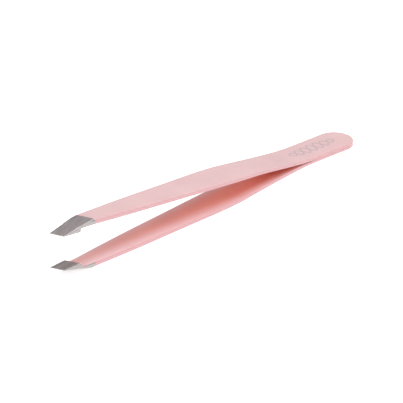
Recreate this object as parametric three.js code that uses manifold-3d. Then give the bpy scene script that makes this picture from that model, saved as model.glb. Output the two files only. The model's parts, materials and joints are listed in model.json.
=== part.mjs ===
// Slant tweezers: two mirrored spring-steel leaves, spot-welded together at a rounded head.
//
// A leaf is a strip with rounded edges, thin where it springs and thicker towards the tip.
// It is cut into three nodes: the head end, the arm that moves when the tweezers are
// squeezed, and the bare tip with its ground bevel and its raised gripping pad.
//
// The leaf is drawn in its own frame: x runs from the head end to the tips, y across the
// strip and z away from the plane where the two leaves meet. The whole object is then
// tipped by the slope of its outer grip face, so that it lies on that face and on the end
// of the head, and it is moved until its origin is at the bottom centre of its bounding box.
// All sizes are in millimetres and all angles in radians.

import * as THREE from "three";
import { mergeVertices } from "three/addons/utils/BufferGeometryUtils.js";
import Module from "manifold-3d";

// Plan outline of a leaf.
const LENGTH = 95; // head end to the longer corner of the tip
const HEAD_RADIUS = 4.5; // the head's round end, and its half-width
const SIDE_POINTS = [
  [HEAD_RADIUS, HEAD_RADIUS],
  [18, 4.42],
  [31, 4.34], // waist
  [36.5, 4.42],
  [42.5, 4.66], // shoulder, the widest place of the grip
  [49, 4.52],
  [60, 3.96],
  [73, 3.34],
  [83, 2.64], // straight from here to the tip
]; // distance from the head end and half-width
const TIP_HALF_WIDTH = 1.6;
const SLANT = THREE.MathUtils.degToRad(21); // angle of the cutting edge across the tip

// Side profile of a leaf, as heights above the meeting plane.
const HEAD_THICKNESS = 0.8; // the strip is thinnest here
const MEETING_LENGTH = 15; // the leaves lie on each other up to here
const GRIP_X = 50; // the set bend ends here and the straight grip starts
const GRIP_THICKNESS = 1.06; // where the straight grip starts
const BEND_HANDLES = [10, 18]; // lengths of the bend's tangents at its two ends
const OUTER_SLOPE = 0.0583; // the outer grip face, if extended, meets the end of the head
const INNER_SLOPE = 0.0457;
const EDGE_ROUNDING = 0.39; // radius of the strip's edges, as a share of its thickness

// Tip, measured along x on the middle of the strip. Its edges run along the slant.
const FRONT_X = LENGTH - TIP_HALF_WIDTH * Math.tan(SLANT);
const BEVEL_X = 86.3; // back of the outer bevel, where the bare steel starts
const PAD_X = 90.1; // back of the pad
const EDGE_THICKNESS = 0.15; // the blunt end of the tip

// Flexure and welds.
const PIVOT_X = 29; // where the bending strip acts as if it were hinged
const CLOSING_ANGLE = THREE.MathUtils.degToRad(3.48); // turn of each arm from open to closed
const FLEX_GAP = 0.12; // between the head and an arm
const PAINT_GAP = 0.04; // between a lacquered arm and its bare tip
const TOUCH_GAP = 0.005; // between each leaf and the meeting plane
const WELD_XS = { rear_weld: 6, front_weld: 12.5 };
const WELD_RADIUS = 1.7;
const WELD_HALF_HEIGHT = 0.3;
const WELD_GAP = 0.03; // around each weld, in the pockets of the heads

// Finishes.
const LACQUER_PINK = 0xe8c2c2;
const STEEL_GREY = 0x9a9694;

// Fineness of the curves.
const HEAD_STATIONS = 10;
const SIDE_STATIONS = 44;
const NOSE_ANGLE = 0.06; // half of the tiny flat left at the very end of the head
const BEND_SAMPLES = 240;
const EDGE_SEGMENTS = 2;
const SECTION_HALF_WIDTH = 2; // in thicknesses, before the section is fitted to the leaf
const WELD_SEGMENTS = 24;

// Room to spare around a cut.
const REACH = 12; // half the length of a cutting prism
const PAST_HEAD_X = -1;
const PAST_TIP_X = LENGTH + 1;

const wasm = await Module();
wasm.setup();

// A closed surface as a solid that can be cut and joined.
function solidOf(geometry) {
  const bare = geometry.index ? geometry.toNonIndexed() : geometry.clone();
  bare.deleteAttribute("normal");
  bare.deleteAttribute("uv");
  const merged = mergeVertices(bare, 1e-5);
  return new wasm.Manifold(
    new wasm.Mesh({
      numProp: 3,
      vertProperties: merged.attributes.position.array,
      triVerts: new Uint32Array(merged.index.array),
    }),
  );
}

// The surface of a solid, with flat faces.
function geometryOf(solid) {
  const mesh = solid.getMesh();
  const geometry = new THREE.BufferGeometry();
  geometry.setAttribute("position", new THREE.BufferAttribute(mesh.vertProperties, 3));
  geometry.setIndex(new THREE.BufferAttribute(mesh.triVerts, 1));
  const faceted = geometry.toNonIndexed();
  faceted.computeVertexNormals();
  return faceted;
}

// Height of the grip's straight faces above the meeting plane.
const outerGrip = (x) => HEAD_THICKNESS + OUTER_SLOPE * x;
const innerGrip = (x) => outerGrip(GRIP_X) - GRIP_THICKNESS + INNER_SLOPE * (x - GRIP_X);

// One face of the leaf from the side: flat at height z along the head, curved through the
// set bend, and straight along the grip. It returns the face's height at any x.
function faceProfile(z, grip, slope) {
  const bend = new THREE.CubicBezierCurve(
    new THREE.Vector2(MEETING_LENGTH, z),
    new THREE.Vector2(MEETING_LENGTH + BEND_HANDLES[0], z),
    new THREE.Vector2(GRIP_X - BEND_HANDLES[1], grip(GRIP_X) - slope * BEND_HANDLES[1]),
    new THREE.Vector2(GRIP_X, grip(GRIP_X)),
  ).getPoints(BEND_SAMPLES);
  return (x) => {
    if (x <= MEETING_LENGTH) return z;
    if (x >= GRIP_X) return grip(x);
    const after = bend.findIndex((p) => p.x > x);
    const [a, b] = [bend[after - 1], bend[after]];
    return THREE.MathUtils.mapLinear(x, a.x, b.x, a.y, b.y);
  };
}

const innerFace = faceProfile(TOUCH_GAP, innerGrip, INNER_SLOPE);
const outerFace = faceProfile(HEAD_THICKNESS, outerGrip, OUTER_SLOPE);
const PIVOT_Z = (innerFace(PIVOT_X) + outerFace(PIVOT_X)) / 2;

// Height, with the tweezers open, of a place that is on the meeting plane when they close.
function openHeight(x) {
  return PIVOT_Z * (1 - Math.cos(CLOSING_ANGLE)) + (x - PIVOT_X) * Math.sin(CLOSING_ANGLE);
}

// Cross-section of the strip, in thicknesses, with rounded edges.
function sectionShape() {
  const straight = SECTION_HALF_WIDTH - EDGE_ROUNDING;
  const rise = 0.5 - EDGE_ROUNDING;
  const shape = new THREE.Shape();
  shape.absarc(straight, rise, EDGE_ROUNDING, 0, Math.PI / 2);
  shape.absarc(-straight, rise, EDGE_ROUNDING, Math.PI / 2, Math.PI);
  shape.absarc(-straight, -rise, EDGE_ROUNDING, Math.PI, 1.5 * Math.PI);
  shape.absarc(straight, -rise, EDGE_ROUNDING, 1.5 * Math.PI, 2 * Math.PI);
  return shape;
}

// Half-width of a leaf on the straight run from the last side point to the tip.
function tipHalfWidth(x) {
  const [backX, backY] = SIDE_POINTS.at(-1);
  return THREE.MathUtils.mapLinear(x, backX, LENGTH, backY, TIP_HALF_WIDTH);
}

// Places along the strip's edge. Each gives x and y for any inset from that edge.
function edgeStations() {
  const around = Array.from({ length: HEAD_STATIONS }, (_, i) => {
    const turn = THREE.MathUtils.lerp(NOSE_ANGLE, Math.PI / 2, i / HEAD_STATIONS);
    return (inset) => {
      const radius = HEAD_RADIUS - inset;
      return [HEAD_RADIUS - radius * Math.cos(turn), radius * Math.sin(turn)];
    };
  });
  const side = new THREE.SplineCurve(SIDE_POINTS.map(([x, y]) => new THREE.Vector2(x, y)));
  const end = new THREE.Vector2(PAST_TIP_X, tipHalfWidth(PAST_TIP_X));
  const along = [...side.getPoints(SIDE_STATIONS), end].map((p) => (inset) => [p.x, p.y - inset]);
  return [...around, ...along];
}

// The whole strip, past its tip. The section is drawn out straight with one step for each
// station; then every corner is moved to its station's place on the leaf.
function stripSolid() {
  const stations = edgeStations();
  const steps = stations.length - 1;
  const geometry = new THREE.ExtrudeGeometry(sectionShape(), {
    depth: steps,
    steps,
    bevelEnabled: false,
    curveSegments: EDGE_SEGMENTS,
  });
  const corners = geometry.attributes.position;
  for (let i = 0; i < corners.count; i += 1) {
    const across = corners.getX(i);
    const height = corners.getY(i) + 0.5;
    const station = stations[Math.round(corners.getZ(i))];
    const [middleX] = station(0);
    const thickness = outerFace(middleX) - innerFace(middleX);
    const [x, y] = station((SECTION_HALF_WIDTH - Math.abs(across)) * thickness);
    const z = THREE.MathUtils.lerp(innerFace(x), outerFace(x), height);
    corners.setXYZ(i, x, Math.sign(across) * y, z);
  }
  return solidOf(geometry);
}

// A plan or a side outline, drawn out straight and centred on the leaf.
function prism(points) {
  const shape = new THREE.Shape(points.map(([a, b]) => new THREE.Vector2(a, b)));
  const geometry = new THREE.ExtrudeGeometry(shape, { depth: 2 * REACH, bevelEnabled: false });
  return geometry.translate(0, 0, -REACH);
}

const planPrism = (points) => solidOf(prism(points));
const sidePrism = (points) => solidOf(prism(points).rotateX(Math.PI / 2));

// A side outline drawn out along the slant of the tip.
function slantedPrism(points) {
  const shear = new THREE.Matrix4();
  shear.elements[4] = -Math.tan(SLANT);
  return solidOf(prism(points).rotateX(Math.PI / 2).applyMatrix4(shear));
}

// The box between two places along the leaf, or between two slanted lines across it.
function slab(makePrism, from, to) {
  return makePrism([[from, -REACH], [to, -REACH], [to, REACH], [from, REACH]]);
}

// Everything in front of the line where the lacquer ends, moved forward by offset.
function beyondPaint(offset) {
  return slab(slantedPrism, BEVEL_X + offset, PAST_TIP_X + REACH);
}

// A lens-shaped spot weld with its surface moved out by offset.
function weldLens(offset) {
  const steps = WELD_SEGMENTS / 4;
  const profile = Array.from({ length: steps + 1 }, (_, i) => {
    const turn = THREE.MathUtils.lerp(-Math.PI / 2, Math.PI / 2, i / steps);
    const radius = Math.max((WELD_RADIUS + offset) * Math.cos(turn), 0);
    return new THREE.Vector2(radius, (WELD_HALF_HEIGHT + offset) * Math.sin(turn));
  });
  return new THREE.LatheGeometry(profile, WELD_SEGMENTS).rotateX(Math.PI / 2);
}

// The end of a leaf that is welded to its twin, with a pocket for half of each weld.
function headSolid(strip) {
  let solid = strip.intersect(slab(sidePrism, PAST_HEAD_X, PIVOT_X - FLEX_GAP / 2));
  for (const x of Object.values(WELD_XS)) {
    solid = solid.subtract(solidOf(weldLens(WELD_GAP).translate(x, 0, 0)));
  }
  return solid;
}

// The lacquered length of a leaf from the flexure to the tip.
function armSolid(strip) {
  const beyondPivot = slab(sidePrism, PIVOT_X + FLEX_GAP / 2, PAST_TIP_X);
  return strip.intersect(beyondPivot).subtract(beyondPaint(-PAINT_GAP / 2));
}

// The pad that stands out of the inner face. Closed, it lies flat on its twin.
function padSolid() {
  const [backX, backY] = SIDE_POINTS.at(-1);
  const frontY = tipHalfWidth(PAST_TIP_X);
  const plan = [[backX, -backY], [PAST_TIP_X, -frontY], [PAST_TIP_X, frontY], [backX, backY]];
  const middle = (x) => (innerGrip(x) + outerGrip(x)) / 2;
  const side = [
    [backX, openHeight(backX)],
    [PAST_TIP_X, openHeight(PAST_TIP_X)],
    [PAST_TIP_X, middle(PAST_TIP_X)],
    [backX, middle(backX)],
  ];
  return sidePrism(side)
    .intersect(planPrism(plan))
    .intersect(slab(slantedPrism, PAD_X, PAST_TIP_X));
}

// The bare tip: the strip's end and its pad, cut by the bevel and by the slanted front.
function tipSolid(strip) {
  const underBevel = [
    [0, 0],
    [FRONT_X, 0],
    [FRONT_X, openHeight(FRONT_X) + EDGE_THICKNESS],
    [BEVEL_X, outerGrip(BEVEL_X)],
    [0, outerGrip(BEVEL_X)],
  ];
  return strip.intersect(beyondPaint(PAINT_GAP / 2)).add(padSolid()).intersect(slantedPrism(underBevel));
}

function lacqueredSteel() {
  return new THREE.MeshStandardMaterial({ color: LACQUER_PINK, roughness: 0.38, metalness: 0 });
}

function groundSteel() {
  return new THREE.MeshStandardMaterial({ color: STEEL_GREY, roughness: 0.35, metalness: 1 });
}

function namedMesh(name, geometry, material) {
  const mesh = new THREE.Mesh(geometry, material);
  mesh.name = name;
  return mesh;
}

// One leaf of the pair. The lower one is the mirror image of the upper one.
function leaf(side) {
  const strip = stripSolid();
  const group = new THREE.Group();
  group.add(
    namedMesh(`${side}_head`, geometryOf(headSolid(strip)), lacqueredSteel()),
    namedMesh(`${side}_arm`, geometryOf(armSolid(strip)), lacqueredSteel()),
    namedMesh(`${side}_tip`, geometryOf(tipSolid(strip)), groundSteel()),
  );
  if (side === "lower") group.scale.z = -1;
  return group;
}

// The two spot welds that hold the leaves together inside the head.
function welds() {
  const group = new THREE.Group();
  for (const [name, x] of Object.entries(WELD_XS)) {
    const weld = namedMesh(name, weldLens(0), groundSteel());
    weld.position.x = x;
    group.add(weld);
  }
  return group;
}

// Tips the pair on to its lower grip face and puts the origin at the bottom centre.
function layDown(pair) {
  pair.rotation.y = -Math.atan(OUTER_SLOPE);
  pair.updateMatrixWorld(true);
  const box = new THREE.Box3().setFromObject(pair, true);
  const centre = box.getCenter(new THREE.Vector3());
  pair.position.set(-centre.x, -centre.y, -box.min.z);
  const lying = new THREE.Group();
  lying.add(pair);
  return lying;
}

const pair = new THREE.Group();
pair.add(leaf("upper"), leaf("lower"), welds());

export default layDown(pair);
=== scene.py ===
"""Slant tweezers: the smooth lacquered leaves, bare ground tips, studio and camera."""

import json
import math

import bmesh
import bpy
import numpy as np
from mathutils import Matrix, Vector


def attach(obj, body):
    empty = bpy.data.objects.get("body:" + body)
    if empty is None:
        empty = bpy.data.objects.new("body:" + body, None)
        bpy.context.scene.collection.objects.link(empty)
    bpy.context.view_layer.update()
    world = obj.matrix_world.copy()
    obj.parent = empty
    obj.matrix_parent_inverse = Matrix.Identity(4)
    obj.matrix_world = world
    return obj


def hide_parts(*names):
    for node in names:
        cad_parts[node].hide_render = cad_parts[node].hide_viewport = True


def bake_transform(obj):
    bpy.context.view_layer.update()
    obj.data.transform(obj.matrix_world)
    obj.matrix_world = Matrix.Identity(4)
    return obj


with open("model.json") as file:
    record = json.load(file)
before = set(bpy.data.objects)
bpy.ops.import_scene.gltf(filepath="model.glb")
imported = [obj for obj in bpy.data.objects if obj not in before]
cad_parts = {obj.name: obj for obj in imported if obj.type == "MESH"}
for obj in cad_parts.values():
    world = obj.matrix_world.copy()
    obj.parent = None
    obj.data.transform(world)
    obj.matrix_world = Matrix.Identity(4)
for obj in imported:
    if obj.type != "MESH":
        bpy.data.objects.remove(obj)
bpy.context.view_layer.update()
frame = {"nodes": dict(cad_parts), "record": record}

MM = 0.001

# The leaf's driving dimensions, in millimetres, as in the CAD model. x runs from the head
# end to the tips, y across the strip and z away from the plane where the leaves meet.
LENGTH = 95.0
HEAD_RADIUS = 4.5
SIDE_POINTS = [
    (HEAD_RADIUS, HEAD_RADIUS),
    (18.0, 4.42),
    (31.0, 4.34),
    (36.5, 4.42),
    (42.5, 4.66),
    (49.0, 4.52),
    (60.0, 3.96),
    (73.0, 3.34),
    (83.0, 2.64),
]
TIP_HALF_WIDTH = 1.6
SLANT = math.tan(math.radians(21.0))
HEAD_THICKNESS = 0.8
MEETING_LENGTH = 15.0
GRIP_X = 50.0
GRIP_THICKNESS = 1.06
BEND_HANDLES = (10.0, 18.0)
OUTER_SLOPE = 0.0583
INNER_SLOPE = 0.0457
EDGE_ROUNDING = 0.39
FRONT_X = LENGTH - TIP_HALF_WIDTH * SLANT
BEVEL_X = 86.3
PAD_X = 90.1
EDGE_THICKNESS = 0.15
PIVOT_X = 29.0
CLOSING_ANGLE = math.radians(3.48)
TOUCH_GAP = 0.01

# Details that only the visual has.
NOSE_TURN = 0.06  # angle of the head's small end facet, as in the CAD model
CROWN = 0.05  # how far the middle of a face stands above its edges
GROUND_EDGE = 0.6  # rounding of the ground edges, as a share of the rolled ones
SEAM_EDGE = 0.35  # rounding of the edges that meet along the head, as the same share
GROUND_RUN = 1.2  # length over which the rolled edge becomes a ground one
PAD_STEP = 0.16  # length of the step behind the pad
SHADE_HEIGHT = 3.5  # height above the meeting plane where the painted shade on the inner faces is halved
SHADE_FALL = 3  # how steeply it fades around that height
SHADE_LIMIT = 0.78  # the deepest painted shade, a warm deeper pink
LIT_NEAR_MARGIN = 0.15  # width of the near margin by the welds that is left pale with painted light, as a share of the half-width
LIT_MARGIN_REACH = 0.25  # how much wider it gets for each millimetre of height
LIT_FAR_MARGIN = 0.7  # width of the paler margin on the far side, painted light, as a share of the half-width
FAR_EDGE_SHADE = 0.1  # share of the painted shade that is left on the far edge
FAN_X = 74.0  # from here the mesh lines turn from square across to the slant

# Fineness of the meshes.
HEAD_STATIONS = 18
SIDE_STATIONS = 90
FAN_STATIONS = 16
EDGE_STEPS = 6
FACE_STEPS = 8
BEVEL_STATIONS = 10
STEP_STATIONS = 4
PAD_STATIONS = 9
BEND_SAMPLES = 400
SIDE_SAMPLES = 40  # between each two side points
FIT_PASSES = 4  # x and the half-width depend on each other; this many passes settle them
LEAF_SHARP_ANGLE = 50.0  # degrees between faces from which an edge is shaded sharp
TIP_SHARP_ANGLE = 30.0


# ---------------------------------------------------------------- the leaf's shape


def lerp(a, b, share):
    """The value at a share of the way from a to b."""
    return a + (b - a) * share


def smooth(share):
    """A share from 0 to 1 that starts and ends level."""
    share = min(max(share, 0.0), 1.0)
    return share * share * (3 - 2 * share)


def outer_grip(x):
    """Height of the grip's straight outer face above the meeting plane."""
    return HEAD_THICKNESS + OUTER_SLOPE * x


def inner_grip(x):
    """Height of the grip's straight inner face above the meeting plane."""
    return outer_grip(GRIP_X) - GRIP_THICKNESS + INNER_SLOPE * (x - GRIP_X)


def bend_samples(z, grip_z, slope):
    """x and height along one face of the set bend, a cubic Bezier curve."""
    t = np.linspace(0, 1, BEND_SAMPLES)
    weights = [(1 - t) ** 3, 3 * (1 - t) ** 2 * t, 3 * (1 - t) * t**2, t**3]
    xs = [MEETING_LENGTH, MEETING_LENGTH + BEND_HANDLES[0], GRIP_X - BEND_HANDLES[1], GRIP_X]
    zs = [z, z, grip_z - slope * BEND_HANDLES[1], grip_z]
    return sum(w * x for w, x in zip(weights, xs)), sum(w * v for w, v in zip(weights, zs))


INNER_BEND = bend_samples(TOUCH_GAP, inner_grip(GRIP_X), INNER_SLOPE)
OUTER_BEND = bend_samples(HEAD_THICKNESS, outer_grip(GRIP_X), OUTER_SLOPE)


def inner_face(x):
    return inner_grip(x) if x > GRIP_X else float(np.interp(x, *INNER_BEND))


def outer_face(x):
    return outer_grip(x) if x > GRIP_X else float(np.interp(x, *OUTER_BEND))


def side_samples():
    """x and half-width along the plan's side, a Catmull-Rom curve through SIDE_POINTS."""
    points = np.array([SIDE_POINTS[0], *SIDE_POINTS, SIDE_POINTS[-1]])
    t = np.linspace(0, 1, SIDE_SAMPLES)[:, None]
    pieces = []
    for before, start, end, after in zip(points, points[1:], points[2:], points[3:]):
        leave, arrive = (end - before) / 2, (after - start) / 2
        cubic = (2 * start - 2 * end + leave + arrive) * t**3
        square = (-3 * start + 3 * end - 2 * leave - arrive) * t**2
        pieces.append(cubic + square + leave * t + start)
    return np.vstack(pieces).T


SIDE = side_samples()


def half_width(x):
    """Half of the leaf's width at x, straight from the last side point to the tip."""
    back_x, back_y = SIDE_POINTS[-1]
    if x < back_x:
        return float(np.interp(x, *SIDE))
    return lerp(back_y, TIP_HALF_WIDTH, (x - back_x) / (LENGTH - back_x))


def leaf_place():
    """The matrix from the leaf's millimetres to the row frame, and the hinge's height.

    The two hinges lie on the leaf frame's z axis, one on each side of the meeting plane.
    """
    at = {j["name"]: Vector(j["pos_m"]) for j in frame["record"]["behaviour"]["joints"]}
    upper, lower = at["upper_arm_flex"], at["lower_arm_flex"]
    tilt = math.atan(OUTER_SLOPE)
    place = Matrix.Translation((upper + lower) / 2) @ Matrix.Rotation(-tilt, 4, "Y")
    place = place @ Matrix.Scale(MM, 4) @ Matrix.Translation((-PIVOT_X, 0, 0))
    return place, (upper - lower).length / 2 / MM


PLACE, PIVOT_Z = leaf_place()


def open_height(x):
    """Height, with the tweezers open, of a place that meets its twin when they close."""
    return PIVOT_Z * (1 - math.cos(CLOSING_ANGLE)) + (x - PIVOT_X) * math.sin(CLOSING_ANGLE)


def bevel_height(u):
    """Height of the ground bevel at u, the x of the slanted line through a place."""
    share = (u - BEVEL_X) / (FRONT_X - BEVEL_X)
    return lerp(outer_grip(BEVEL_X), open_height(FRONT_X) + EDGE_THICKNESS, share)


# ---------------------------------------------------------------- lofting the strip


def section():
    """Corners of the strip's cross-section as (across, inset, height, edge, side).

    across is the share of the half-width, inset the distance in from the side in
    thicknesses and height the share of the thickness. edge is 1 on the middle of a
    rounded edge and 0 beside it, and side is 1 on the strip's sides and 0 on its faces.
    """
    points = []
    up, down = range(EDGE_STEPS + 1), range(EDGE_STEPS, 0, -1)
    for top in (1, -1):
        for i in range(FACE_STEPS):
            across = top * (1 - 2 * i / FACE_STEPS)
            points.append((across, EDGE_ROUNDING, (top + 1) / 2, 0.0, 0.0))
        for level, steps in ((top, up), (-top, down)):
            for i in steps:
                turn = math.pi / 2 * i / EDGE_STEPS
                inset = EDGE_ROUNDING * (1 - math.sin(turn))
                drop = EDGE_ROUNDING * (1 - math.cos(turn))
                height = (level + 1) / 2 - level * drop
                points.append((-top, inset, height, math.sin(2 * turn), math.sin(turn) ** 2))
    return points


SECTION = section()


def crown(across):
    """How far a slightly domed face has fallen at a share of the half-width."""
    return CROWN * across * across


def sharpened(inset, height, sharp_outer, sharp_inner):
    """A section corner's inset and height after its rounding is made sharper."""
    on_outer_half = height > 1 / 2
    if on_outer_half:
        return inset * sharp_outer, 1 - sharp_outer * (1 - height)
    return inset * sharp_inner, height * sharp_inner


def head_station(turn):
    """Points round the head's end, turned from the very end to the side."""

    def point(across, inset, height):
        inset, height = sharpened(inset, height, 1, SEAM_EDGE)
        radius = HEAD_RADIUS - inset * HEAD_THICKNESS
        x = HEAD_RADIUS - radius * math.cos(turn)
        y = across * radius * math.sin(turn)
        fall = crown(y / HEAD_RADIUS)
        return x, y, lerp(TOUCH_GAP, HEAD_THICKNESS - fall, height)

    return point


def arm_station(x0, fan):
    """Points across the arm at x0. fan goes from 0, square across, to 1, the paint line."""
    apart = smooth((x0 - MEETING_LENGTH) / MEETING_LENGTH)
    seam = lerp(SEAM_EDGE, 1, apart)

    def point(across, inset, height):
        inset, height = sharpened(inset, height, 1, seam)
        x = x0
        for _ in range(FIT_PASSES):
            thickness = outer_face(x) - inner_face(x)
            y = across * (half_width(x) - inset * thickness)
            x = lerp(x0, BEVEL_X - SLANT * y, fan)
        low = inner_face(x) + crown(across) * apart
        return x, y, lerp(low, outer_face(x) - crown(across), height)

    return point


def tip_station(u):
    """Points across the bare tip on the slanted line at u."""
    bevelled = smooth((u - BEVEL_X) / GROUND_RUN)
    pad = smooth((u - PAD_X) / PAD_STEP + 1)
    sharp = [lerp(1, GROUND_EDGE, ground) for ground in (bevelled, pad)]

    def point(across, inset, height):
        inset, height = sharpened(inset, height, *sharp)
        x = u
        for _ in range(FIT_PASSES):
            top = min(outer_grip(x), bevel_height(u))
            low = lerp(inner_grip(x), open_height(x), pad)
            y = across * (half_width(x) - inset * (top - low))
            x = u - SLANT * y
        top -= crown(across) * (1 - bevelled)
        low += crown(across) * (1 - pad)
        return x, y, lerp(low, top, height)

    return point


def leaf_stations():
    """From the head's end round its arc, along the arm and up to the paint line."""
    turns = np.linspace(NOSE_TURN, math.pi / 2, HEAD_STATIONS, endpoint=False)
    xs = np.linspace(HEAD_RADIUS, FAN_X, SIDE_STATIONS, endpoint=False)
    fans = np.linspace(0, 1, FAN_STATIONS)
    around = [head_station(turn) for turn in turns]
    return around + [arm_station(x, 0.0) for x in xs] + [arm_station(FAN_X, fan) for fan in fans]


def tip_lines():
    """Where the tip's mesh lines cross its middle: evenly, and closer on the pad's step."""
    behind = np.linspace(BEVEL_X, PAD_X - PAD_STEP, BEVEL_STATIONS, endpoint=False)
    step = np.linspace(PAD_X - PAD_STEP, PAD_X, STEP_STATIONS, endpoint=False)
    return np.concatenate([behind, step, np.linspace(PAD_X, FRONT_X, PAD_STATIONS)])


def bare_above(u):
    """Share of the thickness above which the tip is bare at u.

    Behind the pad's step the inner face and its edges are lacquered. From there on nothing is.
    """
    behind_step = u < PAD_X - 2 * PAD_STEP
    return EDGE_ROUNDING / 2 if behind_step else -1.0


def inner_face_shade(at, across):
    """Share of painted shade on an inner face where its twin hems it in, from 0 to 1.

    The shade is painted as a warm, deeper pink. The margins look out at the room and get painted
    light, so they are paler, most of all on the near side.
    """
    hemmed_in = min(SHADE_LIMIT, 1 / (1 + (at.z / SHADE_HEIGHT) ** SHADE_FALL))
    near = smooth((1 - across) / (LIT_NEAR_MARGIN + LIT_MARGIN_REACH * at.z))
    far = lerp(FAR_EDGE_SHADE, 1, smooth((1 + across) / LIT_FAR_MARGIN))
    return hemmed_in * near * far


def mesh_object(name, work, sharp_angle):
    """An object from a finished bmesh, shaded smooth up to sharp_angle degrees."""
    bmesh.ops.recalc_face_normals(work, faces=work.faces)
    mesh = bpy.data.meshes.new(name)
    work.to_mesh(mesh)
    work.free()
    mesh.shade_smooth()
    mesh.set_sharp_from_angle(angle=math.radians(sharp_angle))
    piece = bpy.data.objects.new(name, mesh)
    bpy.context.scene.collection.objects.link(piece)
    return piece


def loft_corners(work, stations, place):
    """One row of corners for each station, with the paint attributes and the painted shade, in
    the row frame.
    """
    edge_layer = work.verts.layers.float.new("edge")
    side_layer = work.verts.layers.float.new("side")
    painted_shade_layer = work.verts.layers.float.new("painted_shade")
    rows = []
    for station in stations:
        row = []
        for across, inset, height, edge, side in SECTION:
            at = Vector(station(across, inset, height))
            vert = work.verts.new(place @ at)
            vert[edge_layer] = edge
            vert[side_layer] = side
            # the inner faces carry the painted shade between the leaves
            vert[painted_shade_layer] = inner_face_shade(at, across) if height == 0 else 0.0
            row.append(vert)
        rows.append(row)
    return rows


def loft(name, stations, flip, sharp_angle, bare=None):
    """One closed mesh through the stations, in the row frame.

    bare gives, for each station, the share of the thickness above which a face has the
    second material. Without it every face has the first.
    """
    mirror = Matrix.Scale(-1, 4, (0, 0, 1)) if flip else Matrix.Identity(4)
    work = bmesh.new()
    rows = loft_corners(work, stations, PLACE @ mirror)
    for number, (row, following) in enumerate(zip(rows, rows[1:])):
        for i in range(len(row)):
            j = (i + 1) % len(row)
            face = work.faces.new((row[i], row[j], following[j], following[i]))
            highest = max(SECTION[i][2], SECTION[j][2])
            face.material_index = int(bare is not None and highest > bare[number])
    for end in (rows[0], rows[-1]):
        work.faces.new(end).material_index = int(bare is not None)
    return mesh_object(name, work, sharp_angle)


# ---------------------------------------------------------------- the head's ornament

BRAID_START = 5.2  # distance from the head end, as for BRAID_END
BRAID_END = 20.8
BRAID_WAVES = 3.5
BRAID_HALF_WIDTH = 1.75
BRAID_FULLNESS = 0.4  # how quickly the braid reaches its full width; lower is quicker
LINE_WIDTH = 0.36
INK_HEIGHT = 0.012
BRAID_STEPS = 120
BRAID_SHARP_ANGLE = 50.0


def line_ring(work, share, side, layer):
    """The four corners of a printed line at a share of the braid's length.

    side is 1 or -1 for the two waves, and layer is how many ink heights up the line starts.
    """
    swell = BRAID_HALF_WIDTH * math.sin(math.pi * share) ** BRAID_FULLNESS
    phase = math.tau * BRAID_WAVES * share
    x = lerp(BRAID_START, BRAID_END, share)
    y = side * swell * math.sin(phase)
    slope = side * swell * math.cos(phase) * math.tau * BRAID_WAVES / (BRAID_END - BRAID_START)
    reach = LINE_WIDTH / 2 / math.hypot(1, slope)
    ring = []
    for way, level in ((-1, layer), (1, layer), (1, layer + 1), (-1, layer + 1)):
        corner_x, corner_y = x - way * reach * slope, y + way * reach
        face = outer_face(corner_x) - crown(corner_y / half_width(corner_x))
        height = face + level * INK_HEIGHT
        ring.append(work.verts.new(PLACE @ Vector((corner_x, corner_y, height))))
    return ring


def printed_ornament():
    """A plain printed braid of two waves, a thin layer on the upper leaf's outer face.

    The second wave lies half a layer higher, so that it passes over the first.
    """
    work = bmesh.new()
    for side, layer in ((1, 0), (-1, 0.5)):
        rings = [line_ring(work, share, side, layer) for share in np.linspace(0, 1, BRAID_STEPS)]
        for ring, following in zip(rings, rings[1:]):
            for i in range(len(ring)):
                j = (i + 1) % len(ring)
                work.faces.new((ring[i], ring[j], following[j], following[i]))
        work.faces.new(rings[0])
        work.faces.new(rings[-1])
    return mesh_object("printed_ornament", work, BRAID_SHARP_ANGLE)


# ---------------------------------------------------------------- materials


def rgb(red, green, blue):
    """A linear colour from display values between 0 and 255."""
    display = [v / 255 for v in (red, green, blue)]
    linear = [v / 12.92 if v <= 0.04045 else ((v + 0.055) / 1.055) ** 2.4 for v in display]
    return (*linear, 1.0)


# Colours. Where there are two, the surface is mottled between them.
PINK = rgb(233, 194, 195), rgb(226, 186, 188)
# painted shade: the warm tone between the leaves
SHADE_PINK = rgb(238, 138, 108), rgb(232, 128, 98)
# painted shade on the lacquered strip's sides
SIDE_SHADE_PINK = rgb(198, 150, 154)
EDGE_PINK = rgb(208, 158, 157)
CHIP_GREY = rgb(150, 143, 140)
STEEL_FACE = rgb(197, 189, 186), rgb(189, 179, 181)
# partly the duller finish of the sides, partly painted shade
STEEL_SIDE_AND_SHADE = rgb(172, 172, 169)
STEEL_LINE = rgb(150, 140, 142)
INK_GREY = rgb(188, 172, 174), rgb(200, 180, 182)
FLOOR_WHITE = rgb(250, 250, 250), rgb(247, 247, 247)
PURE_WHITE = (1.0, 1.0, 1.0, 1.0)
SIDE_TONE_AND_SHADE = 0.9  # share of the side colour on the strip's sides: painted shade on the lacquer, partly painted shade on the steel
EDGE_TINT = 0.35  # share of the edge colour where the coat is thinnest


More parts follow.
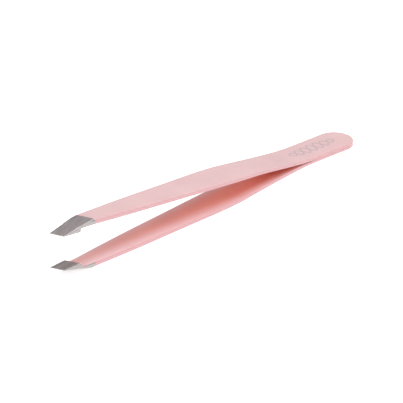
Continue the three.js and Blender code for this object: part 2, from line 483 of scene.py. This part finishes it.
class Shader:
    """A material's node tree, with short ways to add and join nodes."""

    def __init__(self, name):
        self.material = bpy.data.materials.new(name)
        self.material.use_nodes = True
        self.tree = self.material.node_tree
        self.surface = self.tree.nodes["Principled BSDF"]

    def node(self, kind, inputs=None, **settings):
        """A new node with its settings, and with values or links for its inputs."""
        made = self.tree.nodes.new(kind)
        for key, value in settings.items():
            setattr(made, key, value)
        for key, value in (inputs or {}).items():
            self.feed(made.inputs[key], value)
        return made

    def feed(self, socket, value):
        """Links an output to the socket, or sets the socket to a plain value."""
        if isinstance(value, bpy.types.NodeSocket):
            self.tree.links.new(value, socket)
        else:
            socket.default_value = value

    def set(self, **values):
        """Feeds the surface's own sockets, named with underscores for spaces."""
        for key, value in values.items():
            self.feed(self.surface.inputs[key.replace("_", " ")], value)

    def place(self, scale=(1, 1, 1)):
        """Object coordinates in millimetres, stretched by scale."""
        at = self.node("ShaderNodeTexCoord").outputs["Object"]
        per_mm = tuple(s / MM for s in scale)
        return self.node("ShaderNodeMapping", {"Vector": at, "Scale": per_mm}).outputs[0]

    def noise(self, scale, detail=3.0, vector=None, roughness=0.5):
        """Cloudy noise from 0 to 1, with scale cells to the millimetre."""
        inputs = {"Scale": scale, "Detail": detail, "Roughness": roughness}
        inputs["Vector"] = self.place() if vector is None else vector
        return self.node("ShaderNodeTexNoise", inputs).outputs["Fac"]

    def painted(self, attribute):
        """A share stored on the mesh's corners."""
        return self.node("ShaderNodeAttribute", attribute_name=attribute).outputs["Fac"]

    def span(self, value, low, high, to_low=0.0, to_high=1.0):
        """A value between low and high, moved to the span from to_low to to_high."""
        inputs = {"Value": value, "From Min": low, "From Max": high}
        inputs.update({"To Min": to_low, "To Max": to_high})
        return self.node("ShaderNodeMapRange", inputs).outputs[0]

    def times(self, a, b):
        return self.node("ShaderNodeMath", {0: a, 1: b}, operation="MULTIPLY").outputs[0]

    def mix(self, share, a, b):
        """A colour at a share of the way from a to b."""
        made = self.node("ShaderNodeMix", data_type="RGBA")
        for key, value in (("Factor", share), ("A", a), ("B", b)):
            socket = next(s for s in made.inputs if s.name == key and s.enabled)
            self.feed(socket, value)
        return next(s for s in made.outputs if s.enabled)

    def bump(self, height, distance):
        """A surface roughened by height, where 1 stands for a distance in millimetres."""
        inputs = {"Height": height, "Distance": distance * MM, "Strength": 1.0}
        return self.node("ShaderNodeBump", inputs).outputs[0]


def lacquer():
    """Pale pink baked lacquer: satin, a little mottled, thin on the rounded edges.

    On the inner faces a warmer, deeper pink is painted shade, the light hemmed in between the
    leaves, most of all near the welds.
    """
    shader = Shader("pink_lacquer")
    mottle = shader.span(shader.noise(0.12, detail=4.0), 0.3, 0.7)
    pink = shader.mix(mottle, *PINK)
    # painted shade: a warm deeper pink on the inner faces, where the leaves hem each other in
    shade_tone = shader.mix(mottle, *SHADE_PINK)
    faces = shader.mix(shader.painted("painted_shade"), pink, shade_tone)
    # painted shade: the strip's sides are darkened
    body = shader.mix(shader.times(shader.painted("side"), SIDE_TONE_AND_SHADE), faces, SIDE_SHADE_PINK)
    edge = shader.painted("edge")
    patchy = shader.span(shader.noise(0.9, detail=5.0), 0.42, 0.68)
    thin = shader.times(shader.times(edge, patchy), EDGE_TINT)
    coat_colour = shader.mix(thin, body, EDGE_PINK)
    specks = shader.span(shader.noise(5.0, detail=2.0), 0.74, 0.78)
    chips = shader.times(shader.times(edge, edge), specks)
    shader.set(Base_Color=shader.mix(chips, coat_colour, CHIP_GREY))
    shader.set(Roughness=shader.span(shader.noise(0.5, detail=4.0), 0.3, 0.7, 0.3, 0.4))
    shader.set(Normal=shader.bump(shader.noise(1.6), 0.004))
    shader.set(Coat_Weight=0.35, Coat_Roughness=0.22, Specular_IOR_Level=0.5)
    return shader.material


def ground_steel():
    """Bare stainless steel with fine grinding lines along the leaf, darker on the sides: partly
    a duller side finish, partly painted shade.
    """
    shader = Shader("ground_steel")
    along = shader.place((0.12, 2.4, 2.4))
    lines = shader.noise(1.0, detail=6.0, vector=along, roughness=0.75)
    smudge = shader.span(shader.noise(0.3), 0.2, 0.8)
    face = shader.mix(smudge, *STEEL_FACE)
    # darker sides: partly a duller finish, partly painted shade
    grey = shader.mix(shader.times(shader.painted("side"), SIDE_TONE_AND_SHADE), face, STEEL_SIDE_AND_SHADE)
    dark_lines = shader.span(lines, 0.38, 0.6, 0.6, 0.0)
    shader.set(Base_Color=shader.mix(dark_lines, grey, STEEL_LINE))
    shader.set(Roughness=shader.span(lines, 0.3, 0.7, 0.36, 0.52))
    shader.set(Normal=shader.bump(lines, 0.0025))
    shader.set(Metallic=1.0)
    return shader.material


def grey_ink():
    """Thin printed ink, a little uneven, on the lacquer."""
    shader = Shader("grey_ink")
    uneven = shader.span(shader.noise(3.0, detail=4.0), 0.35, 0.7)
    shader.set(Base_Color=shader.mix(uneven, *INK_GREY))
    shader.set(Roughness=shader.span(shader.noise(2.0), 0.3, 0.7, 0.4, 0.5))
    shader.set(Normal=shader.bump(shader.noise(6.0), 0.002))
    return shader.material


def white_floor():
    """Matt white, lit a little from within so that hardly a shadow shows on it."""
    shader = Shader("white_floor")
    tone = shader.span(shader.noise(0.01, detail=2.0), 0.3, 0.7)
    shader.set(Base_Color=shader.mix(tone, *FLOOR_WHITE))
    shader.set(Roughness=0.7, Specular_IOR_Level=0.2)
    shader.set(Emission_Color=PURE_WHITE, Emission_Strength=0.52)
    return shader.material


# ---------------------------------------------------------------- building the tweezers

LACQUER = lacquer()
STEEL = ground_steel()


def finish_piece(piece, material):
    """Gives a piece its material."""
    piece.data.materials.append(material)


def flex(piece):
    """Bakes a piece's placing into its mesh."""
    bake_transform(piece)


def build_leaf(side):
    """One leaf in two pieces: the lacquered strip, and the bare tip that rides on its arm."""
    flip = side == "lower"
    arm = f"{side}_arm"
    strip = loft(f"{side}_leaf", leaf_stations(), flip, LEAF_SHARP_ANGLE)
    finish_piece(strip, LACQUER)
    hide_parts(f"{side}_head", arm)
    flex(strip)
    lines = tip_lines()
    bare = [bare_above(u) for u in lines]
    stations = [tip_station(u) for u in lines]
    tip = loft(f"{side}_ground_tip", stations, flip, TIP_SHARP_ANGLE, bare)
    tip.data.materials.append(LACQUER)
    finish_piece(tip, STEEL)
    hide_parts(f"{side}_tip")
    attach(tip, arm)


def repaint(node, material):
    """Gives a node of the CAD model a new material."""
    slots = frame["nodes"][node].data.materials
    slots.clear()
    slots.append(material)


for side in ("upper", "lower"):
    build_leaf(side)
for weld in ("rear_weld", "front_weld"):
    repaint(weld, STEEL)
ornament = printed_ornament()
finish_piece(ornament, grey_ink())
flex(ornament)

# ---------------------------------------------------------------- studio and camera

FLOOR_SIZE = 6.0
CAMERA_AIM = Vector((1.1, -1.92, 0.65)) * MM
CAMERA_AZIMUTH = math.radians(135.76)
CAMERA_ELEVATION = math.radians(26.62)
CAMERA_DISTANCE = 0.4516
CAMERA_ROLL = math.radians(1.84)
CAMERA_LENS = 175.0  # in millimetres, as is the sensor's width
CAMERA_SENSOR = 36.0
CAMERA_CLIP = (0.01, 20.0)


def direction(azimuth, elevation):
    """Towards a place seen from the tweezers. At azimuth 0 it is on the -Y side."""
    level = math.cos(elevation)
    return Vector((math.sin(azimuth) * level, -math.cos(azimuth) * level, math.sin(elevation)))


def facing(back):
    """The turn of a lamp or camera that looks along -back with its top upwards."""
    return (-back).to_track_quat("-Z", "Y")


def floor():
    """A wide plain floor, which belongs to the stage and not to the tweezers."""
    bpy.ops.mesh.primitive_plane_add(size=FLOOR_SIZE, location=(0, 0, 0))
    plane = bpy.context.object
    plane.name = "floor"
    plane.data.materials.append(white_floor())


def softbox(name, azimuth, elevation, distance, size, power):
    """A square light that faces the tweezers from the given side."""
    data = bpy.data.lights.new(name, "AREA")
    data.shape = "SQUARE"
    data.size = size
    data.energy = power
    lamp = bpy.data.objects.new(name, data)
    bpy.context.scene.collection.objects.link(lamp)
    back = direction(math.radians(azimuth), math.radians(elevation))
    lamp.location = back * distance
    lamp.rotation_mode = "QUATERNION"
    lamp.rotation_quaternion = facing(back)


def surroundings(far, near):
    """A white room, dimmer on the far side of the tweezers than on the near side."""
    world = bpy.data.worlds.new("studio")
    bpy.context.scene.world = world
    world.use_nodes = True
    nodes, links = world.node_tree.nodes, world.node_tree.links
    towards = nodes.new("ShaderNodeTexCoord").outputs["Generated"]
    parts = nodes.new("ShaderNodeSeparateXYZ")
    links.new(towards, parts.inputs[0])
    strength = nodes.new("ShaderNodeMapRange")
    strength.inputs["From Min"].default_value = -1.0
    strength.inputs["To Min"].default_value = far
    strength.inputs["To Max"].default_value = near
    links.new(parts.outputs["Y"], strength.inputs["Value"])
    background = nodes["Background"]
    background.inputs["Color"].default_value = PURE_WHITE
    links.new(strength.outputs[0], background.inputs["Strength"])


def camera():
    """A long lens above the near side, looking back along the tweezers from their tips."""
    data = bpy.data.cameras.new("camera")
    data.sensor_width = CAMERA_SENSOR
    data.lens = CAMERA_LENS
    data.clip_start, data.clip_end = CAMERA_CLIP
    eye = bpy.data.objects.new("camera", data)
    bpy.context.scene.collection.objects.link(eye)
    back = direction(CAMERA_AZIMUTH, CAMERA_ELEVATION)
    at = Matrix.Translation(CAMERA_AIM + back * CAMERA_DISTANCE)
    turned = facing(back).to_matrix().to_4x4() @ Matrix.Rotation(-CAMERA_ROLL, 4, "Z")
    eye.matrix_world = at @ turned
    bpy.context.scene.camera = eye


floor()
surroundings(far=0.46, near=0.6)
softbox("top_light", azimuth=200.0, elevation=74.0, distance=0.9, size=0.8, power=5.4)
softbox("near_light", azimuth=150.0, elevation=35.0, distance=1.1, size=0.6, power=1.6)
camera()
bpy.context.scene.view_settings.view_transform = "Standard"
